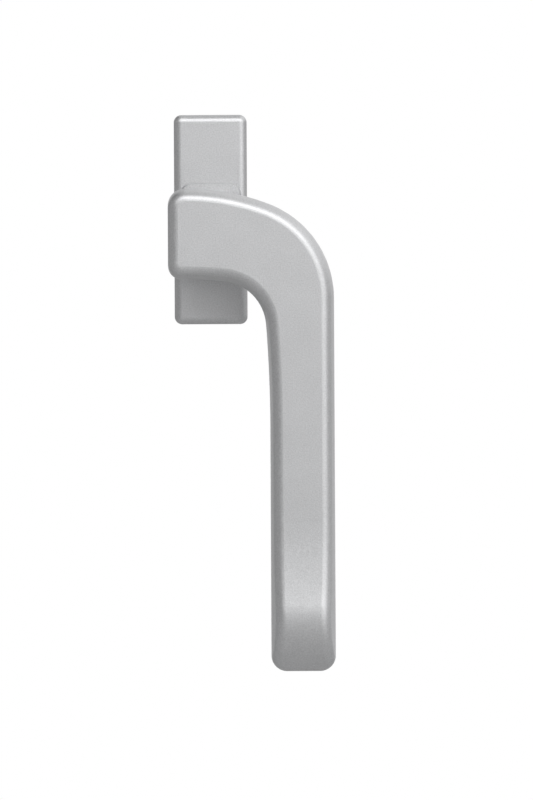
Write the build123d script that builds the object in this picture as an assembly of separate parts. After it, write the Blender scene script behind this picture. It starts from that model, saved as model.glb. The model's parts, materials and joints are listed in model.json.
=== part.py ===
"""Cranked window handle on a slim base, in millimetres.

+X is to the right and +Z up as seen from the room, and the room side is -Y.
The origin is on the spindle axis, in the plane where the base meets the sash.
Depth is counted from that plane towards the room, so a depth d lies at y = -d.
The lever is drawn in its closed position, with the grip pointing down.
"""

from build123d import *

import os
from math import cos, radians, sin, sqrt

# Base: a slim cap over a die-cast plate
BASE_WIDTH = 26.0
BASE_HEIGHT = 74.6
BASE_DEPTH = 12.0
BASE_CORNER_R = 2.7
BASE_EDGE_R = 2.6
COVER_WALL = 1.6
COVER_FRONT = 2.2

# Fixing: two screws through centring pegs, and a square spindle between them
SCREW_PITCH = 43.0
PEG_D = 10.0
PEG_LENGTH = 5.0
SCREW_D = 5.0
SCREW_SHANK_D = 4.5
SCREW_HEAD_D = 9.2
SCREW_REACH = 24.0
SCREW_BEVEL = 0.8
SCREW_CROSS = 4.4
SCREW_CROSS_WIDTH = 1.1
SPINDLE_SIZE = 7.0
SPINDLE_REACH = 32.0
SPINDLE_BEVEL = 0.6

# Lever outline, seen from the room
HEAD_LEFT = 15.15
HEAD_TOP = 10.8
HEAD_BOTTOM = 21.45
HEAD_TOP_CORNER_R = 6.2
HEAD_LOW_CORNER_R = 4.7
GRIP_INNER = 20.9
GRIP_WIDTH = 22.85
GRIP_END = 160.85
GRIP_CORNER_R = 5.6
CROWN_TURN = 21.6
OUTER_BEND_R = 35.9
SAG_TURN = 5.4
INNER_BEND_R = 16.8
INNER_SWEEP_R = 500.0
INNER_SWEEP_ANGLE = 4.2

# Lever section: its sides lean in from the widest line, towards the sash and towards the room
LEVER_STANDOFF = 18.0
LEVER_THICK = 17.0
WIDEST_RISE = 6.0
BACK_INSET = 1.8
SHOULDER_INSET = 0.5
FRONT_INSET = 2.0
FRONT_EDGE_R = 3.6
BACK_EDGE_R = 3.0

# Grip tip, seen from the side: it kicks out a little, then rolls over
KICK_LENGTH = 52.8
KICK_R = 190.0
KICK_ANGLE = 9.0
TIP_R = 24.0
TIP_TURN = 65.0

# Neck between the lever's head and the base
FOOT_WIDTH = 21.8
FOOT_MARGIN = 0.1
FOOT_CORNER_R = 4.2
FOOT_RIM = 1.6
FOOT_DRAFT = 0.35
FOOT_STEP = 4.4
FOOT_BLEND_R = 1.6
WAIST_CORNER_R = 3.0
WAIST_MARGIN = 2.3
NECK_SINK = 3.0
NECK_BLEND_R = 2.0
SOCKET_LENGTH = 22.0

# Detent: a square cam on a round journal, between two leaf springs
JOURNAL_WALL = 0.5
JOURNAL_SUNK = 0.2
CAM_STEP = 1.0
CAM_CORNER_RISE = 1.2
SPRING_END_WALL = 2.0
SPRING_THICK = 0.6
SPRING_CORNER_R = 0.8
SPRING_SHOULDER = 1.6
SPRING_FLEX = 1.5

# Base plate's web, the recess behind it and the clips that hold the cover
WEB_THICK = 1.5
RECESS_RIM = 1.0
SNAP_WIDTH = 9.6
SNAP_REACH = 0.5
SNAP_NEAR = 2.4
SNAP_DEPTH = 1.6

# Lid and its screws
LID_THICK = 1.0
LID_RIM = 0.75
LID_CORNER_R = 1.6
LID_SCREW_GAP = 1.1
LID_SCREW_D = 2.5
LID_SCREW_HEAD_D = 4.4
LID_SCREW_HEAD = 0.6
LID_SCREW_SLOT = 0.6
LID_SCREW_LENGTH = 6.0

# Bushes, slide ring, circlip, washer and grub screw
BUSH_WALL = 1.5
BUSH_FLANGE = 0.6
BUSH_RIM = 0.8
RING_MARGIN = 0.9
RING_WIDTH = 2.4
RING_THICK = 1.0
CLIP_NEAR = 0.2
CLIP_THICK = 1.0
CLIP_RADIAL = 1.6
CLIP_BITE = 0.55
CLIP_GAP_ANGLE = 70.0
CLIP_EYE_D = 2.8
CLIP_EYE_HOLE_D = 1.2
CLIP_EYE_OUT = 0.5
CLIP_EYE_TURN = 6.0
WASHER_THICK = 0.4
GRUB_D = 5.0
GRUB_RISE = 9.2
GRUB_SUNK = 0.4
GRUB_BEVEL = 0.8
GRUB_HEX = 2.5
GRUB_SOCKET = 2.6

# Clearances
RUN_GAP = 0.05
FIT_GAP = 0.1
SNAP_GAP = 0.15
SCREW_GAP = 0.2
CHAMBER_GAP = 0.3
FOOT_GAP = 0.3

# Widths that follow from those above
GRIP_OUTER = GRIP_INNER + GRIP_WIDTH
FOOT_HEIGHT = BASE_WIDTH - 2 * FOOT_MARGIN
WAIST_WIDTH = FOOT_WIDTH - 2 * FOOT_STEP
WAIST_HEIGHT = 2 * (HEAD_TOP - WAIST_MARGIN)
RING_D = FOOT_WIDTH - 2 * RING_MARGIN
SCREW_HOLE_D = SCREW_D + 2 * SCREW_GAP
SCREW_HEIGHTS = {"upper": SCREW_PITCH / 2, "lower": -SCREW_PITCH / 2}
COVER_INSIDE_WIDTH = BASE_WIDTH - 2 * COVER_WALL
COVER_INSIDE_HEIGHT = BASE_HEIGHT - 2 * COVER_WALL
COVER_INSIDE_R = BASE_CORNER_R - COVER_WALL
PLATE_WIDTH = COVER_INSIDE_WIDTH - 2 * SNAP_GAP
PLATE_HEIGHT = COVER_INSIDE_HEIGHT - 2 * SNAP_GAP
PLATE_CORNER_R = COVER_INSIDE_R - SNAP_GAP
SPINDLE_HOLE = SPINDLE_SIZE + 2 * RUN_GAP
JOURNAL_D = SPINDLE_HOLE * sqrt(2) + 2 * JOURNAL_WALL
CAM_FLATS = JOURNAL_D + 2 * CAM_STEP
CAM_CORNER_D = CAM_FLATS + 2 * CAM_CORNER_RISE
CHAMBER_D = CAM_CORNER_D + 2 * CHAMBER_GAP
BUSH_D = JOURNAL_D + 2 * RUN_GAP + 2 * BUSH_WALL
RECESS_D = BUSH_D + 2 * RECESS_RIM
SPRING_LENGTH = PLATE_WIDTH - 2 * SPRING_END_WALL
LID_WIDTH = PLATE_WIDTH - 2 * LID_RIM
LID_HEIGHT = SCREW_PITCH - SCREW_HEAD_D - 2 * LID_SCREW_GAP
LID_SCREW_PITCH = LID_HEIGHT - LID_SCREW_HEAD_D - 2 * SCREW_GAP
CLIP_SEAT_D = SPINDLE_SIZE * sqrt(2) - 2 * CLIP_BITE

# Depths that follow from those above
CLIP_FAR = CLIP_NEAR + CLIP_THICK
RECESS_DEPTH = CLIP_FAR + WASHER_THICK + FIT_GAP
FLOOR_DEPTH = RECESS_DEPTH + WEB_THICK
CAM_NEAR = FLOOR_DEPTH + BUSH_FLANGE + FIT_GAP
COVER_INSIDE_DEPTH = BASE_DEPTH - COVER_FRONT
LID_FAR = COVER_INSIDE_DEPTH - BUSH_FLANGE - 2 * FIT_GAP
PLATE_DEPTH = LID_FAR - LID_THICK
CAM_FAR = PLATE_DEPTH - FIT_GAP
LID_HOLE_END = LID_FAR - LID_SCREW_LENGTH - CHAMBER_GAP
RING_NEAR = BASE_DEPTH + RUN_GAP
NECK_START = BASE_DEPTH + FOOT_GAP
GRUB_DEPTH = NECK_START + GRUB_RISE
SOCKET_END = NECK_START + SOCKET_LENGTH
LEVER_BACK = BASE_DEPTH + LEVER_STANDOFF
LEVER_WIDEST = LEVER_BACK + WIDEST_RISE
LEVER_FRONT = LEVER_BACK + LEVER_THICK
AXIAL = (Align.CENTER, Align.CENTER, Align.MIN)


def at_depth(depth):
    """The front-view plane at a depth from the sash, with local x and y along X and Z."""
    return Plane.XZ.offset(depth)


def block(width, height, near, far, corner_r=0.0):
    """A rectangle centred on the spindle axis, from one depth to another, with rounded corners."""
    outline = RectangleRounded(width, height, corner_r) if corner_r else Rectangle(width, height)
    return extrude(at_depth(near) * outline, far - near)


def drum(diameter, near, far, z=0.0):
    """A cylinder along the depth, on the vertical centre line."""
    return extrude(at_depth(near) * Pos(0, z) * Circle(diameter / 2), far - near)


def cone(near_d, far_d, near, far, z=0.0):
    """A cone along the depth, on the vertical centre line."""
    ends = [(near_d, near), (far_d, far)]
    return loft([at_depth(depth) * Pos(0, z) * Circle(diameter / 2) for diameter, depth in ends])


# Lever


def lever_outline(inset):
    """The lever's front-view outline as tangent arcs and lines, moved in by inset but for the head's end."""
    crown, sag, sweep = radians(CROWN_TURN), radians(SAG_TURN), radians(INNER_SWEEP_ANGLE)
    top_x, top_z = HEAD_TOP_CORNER_R - HEAD_LEFT, HEAD_TOP - inset - HEAD_TOP_CORNER_R
    low_x, low_z = HEAD_LOW_CORNER_R - HEAD_LEFT, HEAD_LOW_CORNER_R + inset - HEAD_BOTTOM
    grip_r = GRIP_CORNER_R - inset
    grip_left, grip_right = GRIP_INNER + GRIP_CORNER_R, GRIP_OUTER - GRIP_CORNER_R
    end = GRIP_CORNER_R - GRIP_END

    bend_x = GRIP_OUTER - OUTER_BEND_R
    crown_r = OUTER_BEND_R + (bend_x - top_x) / sin(crown)
    crown_z = HEAD_TOP - crown_r
    bend_z = crown_z + (crown_r - OUTER_BEND_R) * cos(crown)

    sweep_x = GRIP_INNER - INNER_SWEEP_R
    inner_x = sweep_x + (INNER_SWEEP_R - INNER_BEND_R) * cos(sweep)
    sag_r = INNER_BEND_R + (inner_x - low_x) / sin(sag)
    sag_z = -HEAD_BOTTOM - sag_r
    inner_z = sag_z + (sag_r - INNER_BEND_R) * cos(sag)
    sweep_z = inner_z - (INNER_SWEEP_R - INNER_BEND_R) * sin(sweep)
    inner_turn = 90 - SAG_TURN - INNER_SWEEP_ANGLE

    arcs = [
        CenterArc((top_x, top_z), HEAD_TOP_CORNER_R, 180, -90),
        CenterArc((top_x, crown_z), crown_r - inset, 90, -CROWN_TURN),
        CenterArc((bend_x, bend_z), OUTER_BEND_R - inset, 90 - CROWN_TURN, CROWN_TURN - 90),
        CenterArc((grip_right, end), grip_r, 0, -90),
        CenterArc((grip_left, end), grip_r, 270, -90),
        CenterArc((sweep_x, sweep_z), INNER_SWEEP_R + inset, 0, INNER_SWEEP_ANGLE),
        CenterArc((inner_x, inner_z), INNER_BEND_R + inset, INNER_SWEEP_ANGLE, inner_turn),
        CenterArc((low_x, sag_z), sag_r + inset, 90 - SAG_TURN, SAG_TURN),
        CenterArc((low_x, low_z), HEAD_LOW_CORNER_R, 270, -90),
    ]
    runs = []
    for here, after in zip(arcs, arcs[1:] + arcs[:1]):
        runs.append(here)
        if (here @ 1 - after @ 0).length > RUN_GAP:
            runs.append(Line(here @ 1, after @ 0))
    return make_face(Wire(runs))


def lever_front_trim():
    """Everything behind the lever's front surface: flat, then kicked out, then rolled over at the tip."""
    kick = radians(KICK_ANGLE)
    kick_centre = (-LEVER_FRONT - KICK_R, KICK_LENGTH - GRIP_END)
    kick_arc = CenterArc(kick_centre, KICK_R, 0, -KICK_ANGLE)
    tip_y = kick_centre[0] + (KICK_R + TIP_R) * cos(kick)
    tip_z = kick_centre[1] - (KICK_R + TIP_R) * sin(kick)
    tip_arc = CenterArc((tip_y, tip_z), TIP_R, 180 - KICK_ANGLE, KICK_ANGLE + TIP_TURN)
    top = Vector(-LEVER_FRONT, HEAD_TOP + LEVER_BACK)
    low = tip_arc @ 1
    side = Polyline(low, (0, low.Y), (0, top.Y), top, kick_arc @ 0)
    profile = make_face(Wire([kick_arc, tip_arc, *side.edges()]))
    return extrude(Plane.YZ * profile, GRIP_OUTER + HEAD_LEFT, both=True)


def front_rim(blade):
    """The edge between the front surface and the sides."""
    front = [
        face
        for face in blade.faces()
        if face.geom_type == GeomType.CYLINDER or face.center().Y < -(LEVER_FRONT - RUN_GAP)
    ]
    edges = [edge for face in front for edge in face.edges()]
    return [edge for edge in edges if sum(edge.is_same(other) for other in edges) == 1]


def lever_blade():
    """The lever's head and grip: drafted sides, a rounded front edge and a softer back edge."""
    front_reach = LEVER_FRONT + KICK_R * (1 - cos(radians(KICK_ANGLE))) + FRONT_EDGE_R
    shoulder_depth = (LEVER_WIDEST + LEVER_FRONT) / 2
    sections = [
        at_depth(LEVER_BACK) * lever_outline(BACK_INSET),
        at_depth(LEVER_WIDEST) * lever_outline(0.0),
        at_depth(shoulder_depth) * lever_outline(SHOULDER_INSET),
        at_depth(front_reach) * lever_outline(FRONT_INSET),
    ]
    blade = loft(sections) & lever_front_trim()
    blade = blade.fillet(FRONT_EDGE_R, front_rim(blade))
    back_face = blade.faces().sort_by(Axis.Y)[-1]
    return blade.fillet(BACK_EDGE_R, back_face.edges())


def lever_neck():
    """A squarish waist on a wider foot, which stands close above the base and has drafted sides."""
    foot_top = NECK_START + FOOT_RIM
    foot = loft(
        [
            at_depth(NECK_START) * RectangleRounded(FOOT_WIDTH, FOOT_HEIGHT, FOOT_CORNER_R),
            at_depth(foot_top)
            * RectangleRounded(FOOT_WIDTH - 2 * FOOT_DRAFT, FOOT_HEIGHT - 2 * FOOT_DRAFT, FOOT_CORNER_R),
        ]
    )
    waist = block(WAIST_WIDTH, WAIST_HEIGHT, NECK_START, LEVER_BACK + NECK_SINK, WAIST_CORNER_R)
    neck = foot + waist
    inside_corner = [
        edge
        for edge in neck.edges()
        if abs((edge @ 0.5).Y + foot_top) < RUN_GAP and waist.distance_to(edge @ 0.5) < RUN_GAP
    ]
    return neck.fillet(FOOT_BLEND_R, inside_corner)


def lever_body():
    """The head, grip and neck as one casting, with a fillet where the neck meets the head."""
    blade, neck = lever_blade(), lever_neck()
    body = blade + neck
    seam = [
        edge
        for edge in body.edges()
        if LEVER_BACK - RUN_GAP < -(edge @ 0.5).Y < LEVER_BACK + NECK_SINK
        and neck.distance_to(edge @ 0.5) < RUN_GAP
    ]
    return body.fillet(NECK_BLEND_R, seam)


def lever():
    """The cast lever, with its spindle socket, a seat for the slide ring and a grub screw hole."""
    body = lever_body() - block(SPINDLE_HOLE, SPINDLE_HOLE, NECK_START, SOCKET_END)
    ring_far = RING_NEAR + RING_THICK
    ring_seat = drum(RING_D + 2 * FIT_GAP, NECK_START, ring_far)
    body -= ring_seat - drum(RING_D - 2 * RING_WIDTH - 2 * FIT_GAP, NECK_START, ring_far)
    return body - grub_axis() * Cylinder(GRUB_D / 2 + RUN_GAP, WAIST_HEIGHT / 2, align=AXIAL)


def slide_ring():
    """The low-friction ring in the lever's foot that runs on the cover."""
    ring = drum(RING_D, RING_NEAR, RING_NEAR + RING_THICK)
    return ring - drum(RING_D - 2 * RING_WIDTH, RING_NEAR, RING_NEAR + RING_THICK)


def spindle():
    """A square bar with bevelled ends and a ring groove across its corners for the circlip."""
    bar = block(SPINDLE_SIZE, SPINDLE_SIZE, -SPINDLE_REACH, SOCKET_END - FIT_GAP)
    ends = bar.faces().sort_by(Axis.Y)
    bar = chamfer(ends[0].edges() + ends[-1].edges(), SPINDLE_BEVEL)
    groove = drum(2 * SPINDLE_SIZE, CLIP_NEAR - RUN_GAP, CLIP_FAR + RUN_GAP)
    return bar - (groove - drum(CLIP_SEAT_D, CLIP_NEAR - RUN_GAP, CLIP_FAR + RUN_GAP))


def grub_axis():
    """Where the grub screw bears on the spindle, looking down the neck's underside."""
    return Pos(0, -GRUB_DEPTH, -SPINDLE_SIZE / 2) * Rot(180, 0, 0)


def grub_screw():
    """A socket set screw with a bevelled point, from the spindle's flat to just inside the neck."""
    length = (WAIST_HEIGHT - SPINDLE_SIZE) / 2 - GRUB_SUNK
    screw = Cylinder(GRUB_D / 2, length, align=AXIAL)
    screw = chamfer(screw.faces().sort_by(Axis.Z)[0].edges(), GRUB_BEVEL)
    socket = extrude(RegularPolygon(GRUB_HEX / 2, 6, major_radius=False), GRUB_SOCKET)
    return grub_axis() * (screw - Pos(0, 0, length - GRUB_SOCKET) * socket)


# Detent


def detent_cam():
    """A square cam with rounded corners on a round journal, holed for the spindle."""
    body = block(CAM_FLATS, CAM_FLATS, CAM_NEAR, CAM_FAR) & drum(CAM_CORNER_D, CAM_NEAR, CAM_FAR)
    journal = drum(JOURNAL_D, RECESS_DEPTH, BASE_DEPTH - JOURNAL_SUNK)
    hole = block(SPINDLE_HOLE, SPINDLE_HOLE, RECESS_DEPTH, BASE_DEPTH)
    return body + journal - hole


def detent_spring(side):
    """A leaf spring with rounded corners that bears on one flat of the cam."""
    middle = (0, -(CAM_NEAR + CAM_FAR) / 2, side * CAM_FLATS / 2)
    flat = Plane(origin=middle, x_dir=(1, 0, 0), z_dir=(0, 0, side))
    leaf = RectangleRounded(SPRING_LENGTH, CAM_FAR - CAM_NEAR, SPRING_CORNER_R)
    return extrude(flat * leaf, SPRING_THICK)


def circlip():
    """An open ring with an eye at each end, in the spindle's groove."""
    inner_r = CLIP_SEAT_D / 2 + RUN_GAP
    outer_r = inner_r + CLIP_RADIAL
    eye_r = inner_r + CLIP_EYE_OUT + CLIP_EYE_D / 2
    gap_side = radians(CLIP_GAP_ANGLE / 2)
    gap_corner = Vector(sin(gap_side), cos(gap_side)) * 2 * outer_r
    gap = make_face(Polyline((0, 0), gap_corner, (-gap_corner.X, gap_corner.Y), close=True))
    ring = Circle(outer_r) - gap
    eye_turn = gap_side + radians(CLIP_EYE_TURN)
    eyes = [Pos(side * eye_r * sin(eye_turn), eye_r * cos(eye_turn)) for side in (-1, 1)]
    for place in eyes:
        ring += place * Circle(CLIP_EYE_D / 2)
    for place in eyes:
        ring -= place * Circle(CLIP_EYE_HOLE_D / 2)
    return extrude(at_depth(CLIP_NEAR) * (ring - Circle(inner_r)), CLIP_THICK)


def thrust_washer():
    """The thin washer between the circlip and the plate."""
    washer = drum(RECESS_D - 2 * CHAMBER_GAP, CLIP_FAR, CLIP_FAR + WASHER_THICK)
    return washer - drum(SPINDLE_SIZE * sqrt(2) + 2 * FIT_GAP, CLIP_FAR, CLIP_FAR + WASHER_THICK)


def bush(flange_d, flange_near, sleeve_near, sleeve_far):
    """A flanged plastic bearing for the cam's journal."""
    flange_far = flange_near + BUSH_FLANGE
    body = drum(flange_d, flange_near, flange_far) + drum(BUSH_D, sleeve_near, sleeve_far)
    return body - drum(JOURNAL_D + 2 * RUN_GAP, 0, BASE_DEPTH)


def rear_bush():
    """The bearing in the plate's web, with its flange on the chamber's floor."""
    return bush(CHAMBER_D - 2 * SNAP_GAP, FLOOR_DEPTH, RECESS_DEPTH, FLOOR_DEPTH)


def front_bush():
    """The bearing in the cover, with its flange behind the cover's front wall."""
    return bush(BUSH_D + 2 * BUSH_RIM, COVER_INSIDE_DEPTH - BUSH_FLANGE, COVER_INSIDE_DEPTH, BASE_DEPTH)


# Base


def base_plate():
    """The die-cast plate: pegs behind, a detent chamber in front, and countersunk screw holes."""
    sink = (SCREW_HEAD_D - SCREW_D) / 2
    plate = block(PLATE_WIDTH, PLATE_HEIGHT, 0, PLATE_DEPTH, PLATE_CORNER_R)
    for z in SCREW_HEIGHTS.values():
        plate += drum(PEG_D, -PEG_LENGTH, 0, z)
        plate -= drum(SCREW_HOLE_D, -PEG_LENGTH, PLATE_DEPTH, z)
        plate -= cone(SCREW_HOLE_D, SCREW_HOLE_D + 2 * sink, PLATE_DEPTH - sink, PLATE_DEPTH, z)
    plate -= drum(RECESS_D, 0, RECESS_DEPTH)
    plate -= drum(BUSH_D + 2 * RUN_GAP, RECESS_DEPTH, FLOOR_DEPTH)
    plate -= drum(CHAMBER_D, FLOOR_DEPTH, PLATE_DEPTH)
    plate -= spring_slots()
    for side in (-1, 1):
        plate -= drum(LID_SCREW_D, LID_HOLE_END, PLATE_DEPTH, side * LID_SCREW_PITCH / 2)
        plate -= snap_lug(side, SNAP_GAP)
    return plate


def spring_slots():
    """Where the leaf springs lie, with room behind their middles to bow out over the cam's corners."""
    back = CAM_FLATS / 2 + SPRING_THICK
    slot = Rectangle(SPRING_LENGTH + 2 * FIT_GAP, 2 * back)
    slot += Rectangle(SPRING_LENGTH - 2 * SPRING_SHOULDER, 2 * (back + SPRING_FLEX))
    slot -= Rectangle(SPRING_LENGTH + 2 * FIT_GAP, CAM_FLATS - 2 * FIT_GAP)
    return extrude(at_depth(FLOOR_DEPTH + BUSH_FLANGE) * slot, PLATE_DEPTH - FLOOR_DEPTH - BUSH_FLANGE)


def snap_lug(side, clearance=0.0):
    """The lug inside one short wall of the cover, or with a clearance the notch that it clips into."""
    foot = COVER_INSIDE_HEIGHT / 2
    tip = foot - SNAP_REACH - SNAP_GAP - clearance
    lug = Pos(0, side * (foot + tip) / 2) * Rectangle(SNAP_WIDTH + 2 * clearance, foot - tip)
    return extrude(at_depth(SNAP_NEAR - clearance) * lug, SNAP_DEPTH + 2 * clearance)


def cover_cap():
    """The thin cast cap with rounded front edges, snapped over the plate."""
    cap = block(BASE_WIDTH, BASE_HEIGHT, 0, BASE_DEPTH, BASE_CORNER_R)
    cap = fillet(cap.faces().sort_by(Axis.Y)[0].edges(), min(BASE_EDGE_R, BASE_CORNER_R - RUN_GAP))
    cap -= block(COVER_INSIDE_WIDTH, COVER_INSIDE_HEIGHT, 0, COVER_INSIDE_DEPTH, COVER_INSIDE_R)
    for side in (-1, 1):
        cap += snap_lug(side)
    return cap - drum(BUSH_D + 2 * RUN_GAP, 0, BASE_DEPTH)


def lid_plate():
    """The steel lid that keeps the cam and springs in their chamber."""
    lid = block(LID_WIDTH, LID_HEIGHT, PLATE_DEPTH, LID_FAR, LID_CORNER_R)
    lid -= drum(JOURNAL_D + 2 * CHAMBER_GAP, PLATE_DEPTH, LID_FAR)
    for side in (-1, 1):
        lid -= drum(LID_SCREW_D + 2 * FIT_GAP, PLATE_DEPTH, LID_FAR, side * LID_SCREW_PITCH / 2)
    return lid


def lid_screw(z):
    """A small slotted screw that holds the lid."""
    head_far = LID_FAR + LID_SCREW_HEAD
    screw = drum(LID_SCREW_HEAD_D, LID_FAR, head_far, z)
    screw += drum(LID_SCREW_D - 2 * RUN_GAP, LID_FAR - LID_SCREW_LENGTH, LID_FAR, z)
    slot = Pos(0, z) * Rectangle(LID_SCREW_HEAD_D, LID_SCREW_SLOT)
    return screw - extrude(at_depth(LID_FAR + LID_SCREW_HEAD / 2) * slot, LID_SCREW_HEAD)


def fixing_screw(z):
    """A countersunk screw with a cross recess: a plain shank through its peg, then the threaded length."""
    head_near = PLATE_DEPTH - (SCREW_HEAD_D - SCREW_D) / 2
    screw = drum(SCREW_D, -SCREW_REACH, -PEG_LENGTH, z)
    screw = chamfer(screw.faces().sort_by(Axis.Y)[-1].edges(), SCREW_BEVEL)
    screw += drum(SCREW_SHANK_D, -PEG_LENGTH, head_near, z)
    screw += cone(SCREW_D, SCREW_HEAD_D, head_near, PLATE_DEPTH, z)
    cross = Rectangle(SCREW_CROSS, SCREW_CROSS_WIDTH) + Rectangle(SCREW_CROSS_WIDTH, SCREW_CROSS)
    return screw - extrude(at_depth(head_near) * Pos(0, z) * cross, PLATE_DEPTH - head_near)


def subparts():
    """Every piece by its name."""
    pieces = {
        "lever": lever(),
        "slide_ring": slide_ring(),
        "spindle": spindle(),
        "grub_screw": grub_screw(),
        "detent_cam": detent_cam(),
        "circlip": circlip(),
        "thrust_washer": thrust_washer(),
        "base_plate": base_plate(),
        "cover_cap": cover_cap(),
        "front_bush": front_bush(),
        "rear_bush": rear_bush(),
        "lid_plate": lid_plate(),
    }
    for name, side in (("upper", 1), ("lower", -1)):
        pieces[f"detent_spring_{name}"] = detent_spring(side)
        pieces[f"lid_screw_{name}"] = lid_screw(side * LID_SCREW_PITCH / 2)
        pieces[f"fixing_screw_{name}"] = fixing_screw(SCREW_HEIGHTS[name])
    return pieces


if __name__ == "__main__":
    os.makedirs("parts", exist_ok=True)
    for name, shape in subparts().items():
        export_step(shape, f"parts/{name}.step")
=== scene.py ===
"""Looks for the cranked window handle: finishes, light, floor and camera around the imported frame.

Units are metres, in the frame of the part: +X right and +Z up as seen from the room, which is on -Y.
"""

import json
from math import atan, cos, pi, radians, sin

import bmesh
import bpy
from mathutils import Matrix, Vector


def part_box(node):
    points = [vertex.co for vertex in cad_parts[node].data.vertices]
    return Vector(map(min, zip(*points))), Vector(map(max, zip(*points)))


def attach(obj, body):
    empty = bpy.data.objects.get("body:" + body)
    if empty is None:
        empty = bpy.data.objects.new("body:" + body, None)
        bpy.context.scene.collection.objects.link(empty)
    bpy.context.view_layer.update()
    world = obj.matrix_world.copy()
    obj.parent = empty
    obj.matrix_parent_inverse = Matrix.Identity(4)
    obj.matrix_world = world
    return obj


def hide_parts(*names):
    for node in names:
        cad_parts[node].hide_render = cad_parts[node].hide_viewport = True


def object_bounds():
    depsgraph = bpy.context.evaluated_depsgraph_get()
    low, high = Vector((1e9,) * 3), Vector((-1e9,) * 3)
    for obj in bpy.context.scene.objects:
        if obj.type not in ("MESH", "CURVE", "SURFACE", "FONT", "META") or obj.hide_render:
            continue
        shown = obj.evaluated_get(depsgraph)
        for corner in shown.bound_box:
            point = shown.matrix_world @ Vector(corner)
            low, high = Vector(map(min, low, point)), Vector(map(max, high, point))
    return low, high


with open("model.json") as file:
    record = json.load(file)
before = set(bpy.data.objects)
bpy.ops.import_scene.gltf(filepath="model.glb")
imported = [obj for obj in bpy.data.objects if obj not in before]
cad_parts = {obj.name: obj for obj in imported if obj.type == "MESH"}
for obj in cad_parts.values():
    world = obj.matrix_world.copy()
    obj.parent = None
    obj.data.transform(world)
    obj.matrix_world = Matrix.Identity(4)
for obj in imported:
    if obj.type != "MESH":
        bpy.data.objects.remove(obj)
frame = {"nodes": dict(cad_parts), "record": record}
cad_low, cad_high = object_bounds()

# Camera, from the photograph's frame
PHOTO_WIDTH_PX = 533
PHOTO_HEIGHT_PX = 800
SPINDLE_PX = (210.5, 219.0)
BASE_WIDTH = 0.026
BASE_WIDTH_PX = 73.1
METRES_PER_PX = BASE_WIDTH / BASE_WIDTH_PX
ROLL_DEG = 0.3
CAMERA_DISTANCE = 7.0
CAMERA_CLIP = 28.0
LEVER_MIDDLE_DEPTH = 0.030
SENSOR_MM = 36.0

# Floor
FLOOR_DROP = 0.08
FLOOR_RADIUS = 1.4
FLOOR_SIDES = 96
FLOOR_COLOUR = 0.5
FLOOR_ROUGHNESS = 0.9

# Room light: an even level, then glows and a backdrop as direction, cosines of the fade, and strength
ROOM_LEVEL = 0.155
FRONT_GLOW = ((0.1, -1.0, 0.0), (0.80, 0.99), 0.32)
SKY_GLOW = ((0.45, 0.4, 0.75), (0.5, 0.97), 0.80)
LEFT_GLOW = ((-1.0, 0.1, 0.0), (0.5, 0.97), 0.28)
RIGHT_GLOW = ((1.0, 0.1, 0.2), (0.5, 0.97), 0.28)
BACKDROP = ((0.0, 1.0, 0.0), (0.77, 0.94), 1.0)
BACKDROP_LEVEL = 1.0

# Softboxes in front, one above and one at the right
KEY_PLACE = (0.0, -0.95, 0.76)
KEY_SIZE = (1.30, 0.60)
KEY_POWER = 6.9
FILL_PLACE = (0.70, -1.0, 0.45)
FILL_SIZE = (1.20, 1.40)
FILL_POWER = 7.1

# Metals: colour, roughness, size and depth of the grain, slow change of tone, and speckle
METALS = {
    "satin_silver": ((0.602, 0.605, 0.613), 0.50, 0.0005, 0.00003, 0.02, 0.16),
    "cast_alloy": ((0.46, 0.46, 0.45), 0.52, 0.0008, 0.00003, 0.06, 0.02),
    "zinc_steel": ((0.58, 0.59, 0.60), 0.30, 0.0006, 0.000002, 0.05, 0.02),
    "bright_steel": ((0.53, 0.53, 0.52), 0.25, 0.0004, 0.000004, 0.04, 0.02),
    "spring_steel": ((0.27, 0.26, 0.25), 0.30, 0.0005, 0.000004, 0.10, 0.02),
    "black_steel": ((0.045, 0.045, 0.05), 0.42, 0.0004, 0.000008, 0.15, 0.02),
}
METAL_CLOUD = 0.012
METAL_ROUGHNESS_CHANGE = 0.04
METAL_NOISE_DETAIL = 3.0
METAL_GRAIN_HARSHNESS = 0.65

# Plastics: colour, roughness, size and depth of the grain
PLASTICS = {
    "bearing_plastic": ((0.78, 0.77, 0.72), 0.50, 0.0005, 0.000006),
}
PLASTIC_CLOUD = 0.006
PLASTIC_TONE_CHANGE = 0.02
PLASTIC_ROUGHNESS_CHANGE = 0.06

# Largest change of tone, as a share of the colour
TONE_REACH = 0.25

# Thread of the fixing screws, which starts just outside their pegs
THREAD_START = 0.0055
THREAD_PITCH = 0.0008
THREAD_DEPTH = 0.00045
THREAD_TOP_D = 0.005
THREAD_BEVEL = 0.0008
THREAD_STEPS = 6
THREAD_SIDES = 28
THREAD_WELD = 1e-7
SCREW_WELD = 1e-6
SHARP_EDGE_DEG = 35


# Node helpers


def new_material(name):
    """A material with an empty node tree, its principled shader and its output."""
    material = bpy.data.materials.new(name)
    material.use_nodes = True
    tree = material.node_tree
    tree.nodes.clear()
    output = tree.nodes.new("ShaderNodeOutputMaterial")
    shader = tree.nodes.new("ShaderNodeBsdfPrincipled")
    tree.links.new(shader.outputs["BSDF"], output.inputs["Surface"])
    return material, tree, shader


def noise(tree, size, detail=2.0, harshness=0.5):
    """Noise whose features are about size across, fixed to the piece."""
    place = tree.nodes.new("ShaderNodeTexCoord")
    texture = tree.nodes.new("ShaderNodeTexNoise")
    texture.inputs["Scale"].default_value = 1 / size
    texture.inputs["Detail"].default_value = detail
    texture.inputs["Roughness"].default_value = harshness
    tree.links.new(place.outputs["Object"], texture.inputs["Vector"])
    return texture.outputs["Fac"]


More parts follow.
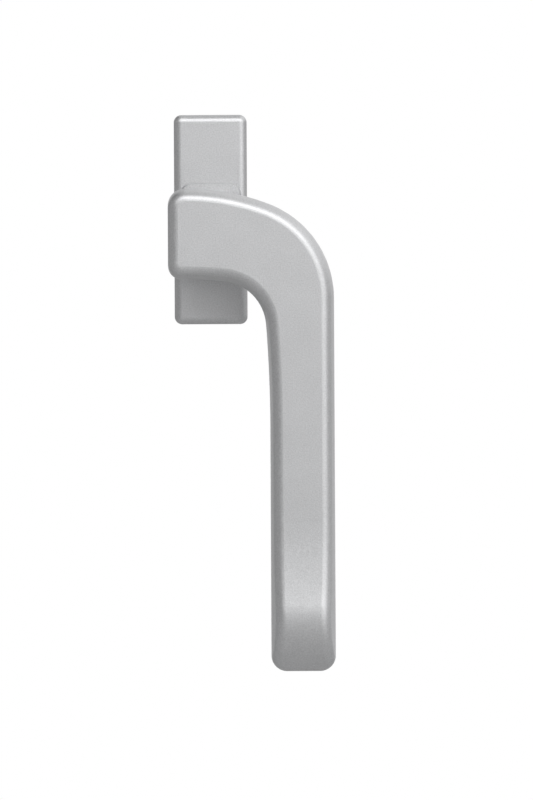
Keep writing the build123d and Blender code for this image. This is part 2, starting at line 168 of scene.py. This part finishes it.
def spread(tree, factor, low, high, start=0.25, stop=0.75, smooth=False):
    """A factor's run from start to stop stretched to run from low to high."""
    node = tree.nodes.new("ShaderNodeMapRange")
    node.interpolation_type = "SMOOTHSTEP" if smooth else "LINEAR"
    node.inputs["From Min"].default_value = start
    node.inputs["From Max"].default_value = stop
    node.inputs["To Min"].default_value = low
    node.inputs["To Max"].default_value = high
    tree.links.new(factor, node.inputs["Value"])
    return node.outputs["Result"]


def tone(tree, change, colour):
    """A colour made lighter or darker by a changing share of itself."""
    node = tree.nodes.new("ShaderNodeMix")
    node.data_type = "RGBA"
    node.inputs["A"].default_value = (*[c * (1 - TONE_REACH) for c in colour], 1)
    node.inputs["B"].default_value = (*[min(c * (1 + TONE_REACH), 1) for c in colour], 1)
    tree.links.new(spread(tree, change, 0, 1, -TONE_REACH, TONE_REACH), node.inputs["Factor"])
    return node.outputs["Result"]


def total(tree, first, second):
    """The sum of two factors, or of a factor and a number."""
    node = tree.nodes.new("ShaderNodeMath")
    node.operation = "ADD"
    tree.links.new(first, node.inputs[0])
    if isinstance(second, float):
        node.inputs[1].default_value = second
    else:
        tree.links.new(second, node.inputs[1])
    return node.outputs["Value"]


def bump(tree, shader, height, depth):
    """Relief of a given depth on a shader's normal."""
    node = tree.nodes.new("ShaderNodeBump")
    node.inputs["Strength"].default_value = 1.0
    node.inputs["Distance"].default_value = depth
    tree.links.new(height, node.inputs["Height"])
    tree.links.new(node.outputs["Normal"], shader.inputs["Normal"])


# Finishes


def metal(name, colour, roughness, grain, grain_depth, tone_change, speckle):
    """A metal with slow changes of tone, and a fine grain in its tone, roughness and relief."""
    material, tree, shader = new_material(name)
    shader.inputs["Metallic"].default_value = 1.0
    slow = spread(tree, noise(tree, METAL_CLOUD, METAL_NOISE_DETAIL), -tone_change, tone_change)
    fine = noise(tree, grain, METAL_NOISE_DETAIL, METAL_GRAIN_HARSHNESS)
    change = total(tree, slow, spread(tree, fine, -speckle, speckle))
    tree.links.new(tone(tree, change, colour), shader.inputs["Base Color"])
    smoother, rougher = roughness - METAL_ROUGHNESS_CHANGE, roughness + METAL_ROUGHNESS_CHANGE
    tree.links.new(spread(tree, fine, smoother, rougher), shader.inputs["Roughness"])
    bump(tree, shader, fine, grain_depth)
    return material


def plastic(name, colour, roughness, grain, grain_depth):
    """A moulded plastic with a faint matte grain."""
    material, tree, shader = new_material(name)
    change = spread(tree, noise(tree, PLASTIC_CLOUD), -PLASTIC_TONE_CHANGE, PLASTIC_TONE_CHANGE)
    tree.links.new(tone(tree, change, colour), shader.inputs["Base Color"])
    fine = noise(tree, grain)
    smoother, rougher = roughness - PLASTIC_ROUGHNESS_CHANGE, roughness + PLASTIC_ROUGHNESS_CHANGE
    tree.links.new(spread(tree, fine, smoother, rougher), shader.inputs["Roughness"])
    bump(tree, shader, fine, grain_depth)
    return material


FINISHES = {name: metal(name, *values) for name, values in METALS.items()}
FINISHES.update({name: plastic(name, *values) for name, values in PLASTICS.items()})


def finish_nodes():
    """Gives each piece its slot's finish."""
    for row in frame["record"]["subparts"]:
        piece = frame["nodes"][row["node"]]
        piece.data.materials.clear()
        piece.data.materials.append(FINISHES[row["material_slot"]])


# Screws


def add_thread(shape, centre_z, end):
    """Adds a closed helical thread along the depth to a mesh, from its start to the screw's end."""
    top_r = THREAD_TOP_D / 2
    turns = int((end - THREAD_START) / THREAD_PITCH) + 1
    rows = []
    for step in range(-THREAD_STEPS, turns * THREAD_STEPS + 1):
        groove = abs(2 * (step / THREAD_STEPS % 1) - 1)
        row = []
        for side in range(THREAD_SIDES + 1):
            turn = side / THREAD_SIDES
            y = THREAD_START + (step / THREAD_STEPS + turn) * THREAD_PITCH
            y = min(max(y, THREAD_START), end)
            run_in = min((y - THREAD_START) / THREAD_PITCH, 1)
            r = min(top_r - THREAD_DEPTH * groove * run_in, top_r - THREAD_BEVEL + end - y)
            row.append(shape.verts.new((r * cos(2 * pi * turn), y, centre_z + r * sin(2 * pi * turn))))
        rows.append(row)
    for near, far in zip(rows, rows[1:]):
        for side in range(THREAD_SIDES):
            shape.faces.new((near[side], far[side], far[side + 1], near[side + 1]))
    bmesh.ops.remove_doubles(shape, verts=[vert for row in rows for vert in row], dist=THREAD_WELD)


def close_holes(shape):
    """Fills each open rim of a mesh."""
    bmesh.ops.holes_fill(shape, edges=[edge for edge in shape.edges if edge.is_boundary], sides=0)


def thread_screw(row):
    """Stands for a fixing screw: the same head and shank, with a helical thread beyond the peg."""
    node = row["node"]
    low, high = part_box(node)
    shape = bmesh.new()
    shape.from_mesh(frame["nodes"][node].data)
    bmesh.ops.remove_doubles(shape, verts=shape.verts[:], dist=SCREW_WELD)
    everything = shape.verts[:] + shape.edges[:] + shape.faces[:]
    bmesh.ops.bisect_plane(
        shape, geom=everything, plane_co=(0, THREAD_START, 0), plane_no=(0, 1, 0), clear_outer=True
    )
    close_holes(shape)
    add_thread(shape, (low[2] + high[2]) / 2, high[1])
    close_holes(shape)
    bmesh.ops.recalc_face_normals(shape, faces=shape.faces[:])
    mesh = bpy.data.meshes.new(f"{node}_threaded")
    shape.to_mesh(mesh)
    shape.free()
    if "custom_normal" in mesh.attributes:
        mesh.attributes.remove(mesh.attributes["custom_normal"])
    mesh.shade_smooth()
    mesh.set_sharp_from_angle(angle=radians(SHARP_EDGE_DEG))
    mesh.materials.append(FINISHES[row["material_slot"]])
    screw = bpy.data.objects.new(f"{node}_threaded", mesh)
    bpy.context.scene.collection.objects.link(screw)
    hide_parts(node)
    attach(screw, "base")


# Stage


def make_floor():
    """A round pale floor below the photograph's frame, which is clear from underneath."""
    z = cad_low.z - FLOOR_DROP
    turns = [2 * pi * side / FLOOR_SIDES for side in range(FLOOR_SIDES)]
    rim = [(FLOOR_RADIUS * cos(turn), FLOOR_RADIUS * sin(turn), z) for turn in turns]
    mesh = bpy.data.meshes.new("floor")
    mesh.from_pydata(rim, [], [range(FLOOR_SIDES)])
    floor = bpy.data.objects.new("floor", mesh)
    bpy.context.scene.collection.objects.link(floor)
    material, tree, shader = new_material("floor")
    shader.inputs["Base Color"].default_value = (FLOOR_COLOUR, FLOOR_COLOUR, FLOOR_COLOUR, 1)
    shader.inputs["Roughness"].default_value = FLOOR_ROUGHNESS
    clear = tree.nodes.new("ShaderNodeBsdfTransparent")
    sides = tree.nodes.new("ShaderNodeMixShader")
    underneath = tree.nodes.new("ShaderNodeNewGeometry").outputs["Backfacing"]
    tree.links.new(underneath, sides.inputs["Fac"])
    tree.links.new(shader.outputs["BSDF"], sides.inputs[1])
    tree.links.new(clear.outputs["BSDF"], sides.inputs[2])
    tree.links.new(sides.outputs["Shader"], tree.nodes["Material Output"].inputs["Surface"])
    mesh.materials.append(material)


def toward(tree, direction, towards, fade, high):
    """A factor that grows smoothly from 0 to high as a direction turns towards a given one."""
    node = tree.nodes.new("ShaderNodeVectorMath")
    node.operation = "DOT_PRODUCT"
    node.inputs[1].default_value = Vector(towards).normalized()
    tree.links.new(direction, node.inputs[0])
    return spread(tree, node.outputs["Value"], 0.0, high, *fade, smooth=True)


def make_world():
    """A room that is white behind the handle, pale in front, above and at the sides, else darker."""
    world = bpy.data.worlds.new("studio")
    world.use_nodes = True
    bpy.context.scene.world = world
    tree = world.node_tree
    tree.nodes.clear()
    output = tree.nodes.new("ShaderNodeOutputWorld")
    room = tree.nodes.new("ShaderNodeBackground")
    direction = tree.nodes.new("ShaderNodeTexCoord").outputs["Generated"]
    pale = toward(tree, direction, *FRONT_GLOW)
    for glow in (SKY_GLOW, LEFT_GLOW, RIGHT_GLOW):
        pale = total(tree, pale, toward(tree, direction, *glow))
    pale = total(tree, pale, ROOM_LEVEL)
    behind = toward(tree, direction, *BACKDROP)
    level = tree.nodes.new("ShaderNodeMix")
    tree.links.new(behind, level.inputs["Factor"])
    tree.links.new(pale, level.inputs["A"])
    level.inputs["B"].default_value = BACKDROP_LEVEL
    room.inputs["Color"].default_value = (1, 1, 1, 1)
    tree.links.new(level.outputs["Result"], room.inputs["Strength"])
    tree.links.new(room.outputs["Background"], output.inputs["Surface"])


def make_softbox(name, place, size, power):
    """A rectangular area light that faces the handle's middle."""
    light = bpy.data.lights.new(name, "AREA")
    light.shape = "RECTANGLE"
    light.size, light.size_y = size
    light.energy = power
    lamp = bpy.data.objects.new(name, light)
    bpy.context.scene.collection.objects.link(lamp)
    lamp.location = place
    aim = (cad_low + cad_high) / 2 - lamp.location
    lamp.rotation_euler = aim.to_track_quat("-Z", "Y").to_euler()
    lamp.visible_camera = False


def make_camera():
    """A long lens that looks straight at the handle, framed and rolled as in the photograph."""
    data = bpy.data.cameras.new("camera")
    data.sensor_width = SENSOR_MM
    half_height = PHOTO_HEIGHT_PX * METRES_PER_PX / 2
    data.angle = 2 * atan(half_height / (CAMERA_DISTANCE - LEVER_MIDDLE_DEPTH))
    camera = bpy.data.objects.new("camera", data)
    bpy.context.scene.collection.objects.link(camera)
    right = (PHOTO_WIDTH_PX / 2 - SPINDLE_PX[0]) * METRES_PER_PX
    down = (PHOTO_HEIGHT_PX / 2 - SPINDLE_PX[1]) * METRES_PER_PX
    roll = Matrix.Rotation(radians(ROLL_DEG), 3, "Y")
    camera.location = roll @ Vector((right, -CAMERA_DISTANCE, -down))
    camera.rotation_euler = (roll @ Matrix.Rotation(radians(90), 3, "X")).to_euler()
    data.clip_end = CAMERA_CLIP
    bpy.context.scene.camera = camera


finish_nodes()
for row in frame["record"]["subparts"]:
    if row["node"].startswith("fixing_screw"):
        thread_screw(row)
make_floor()
make_world()
make_softbox("key", KEY_PLACE, KEY_SIZE, KEY_POWER)
make_softbox("fill", FILL_PLACE, FILL_SIZE, FILL_POWER)
make_camera()
bpy.context.scene.view_settings.view_transform = "Standard"
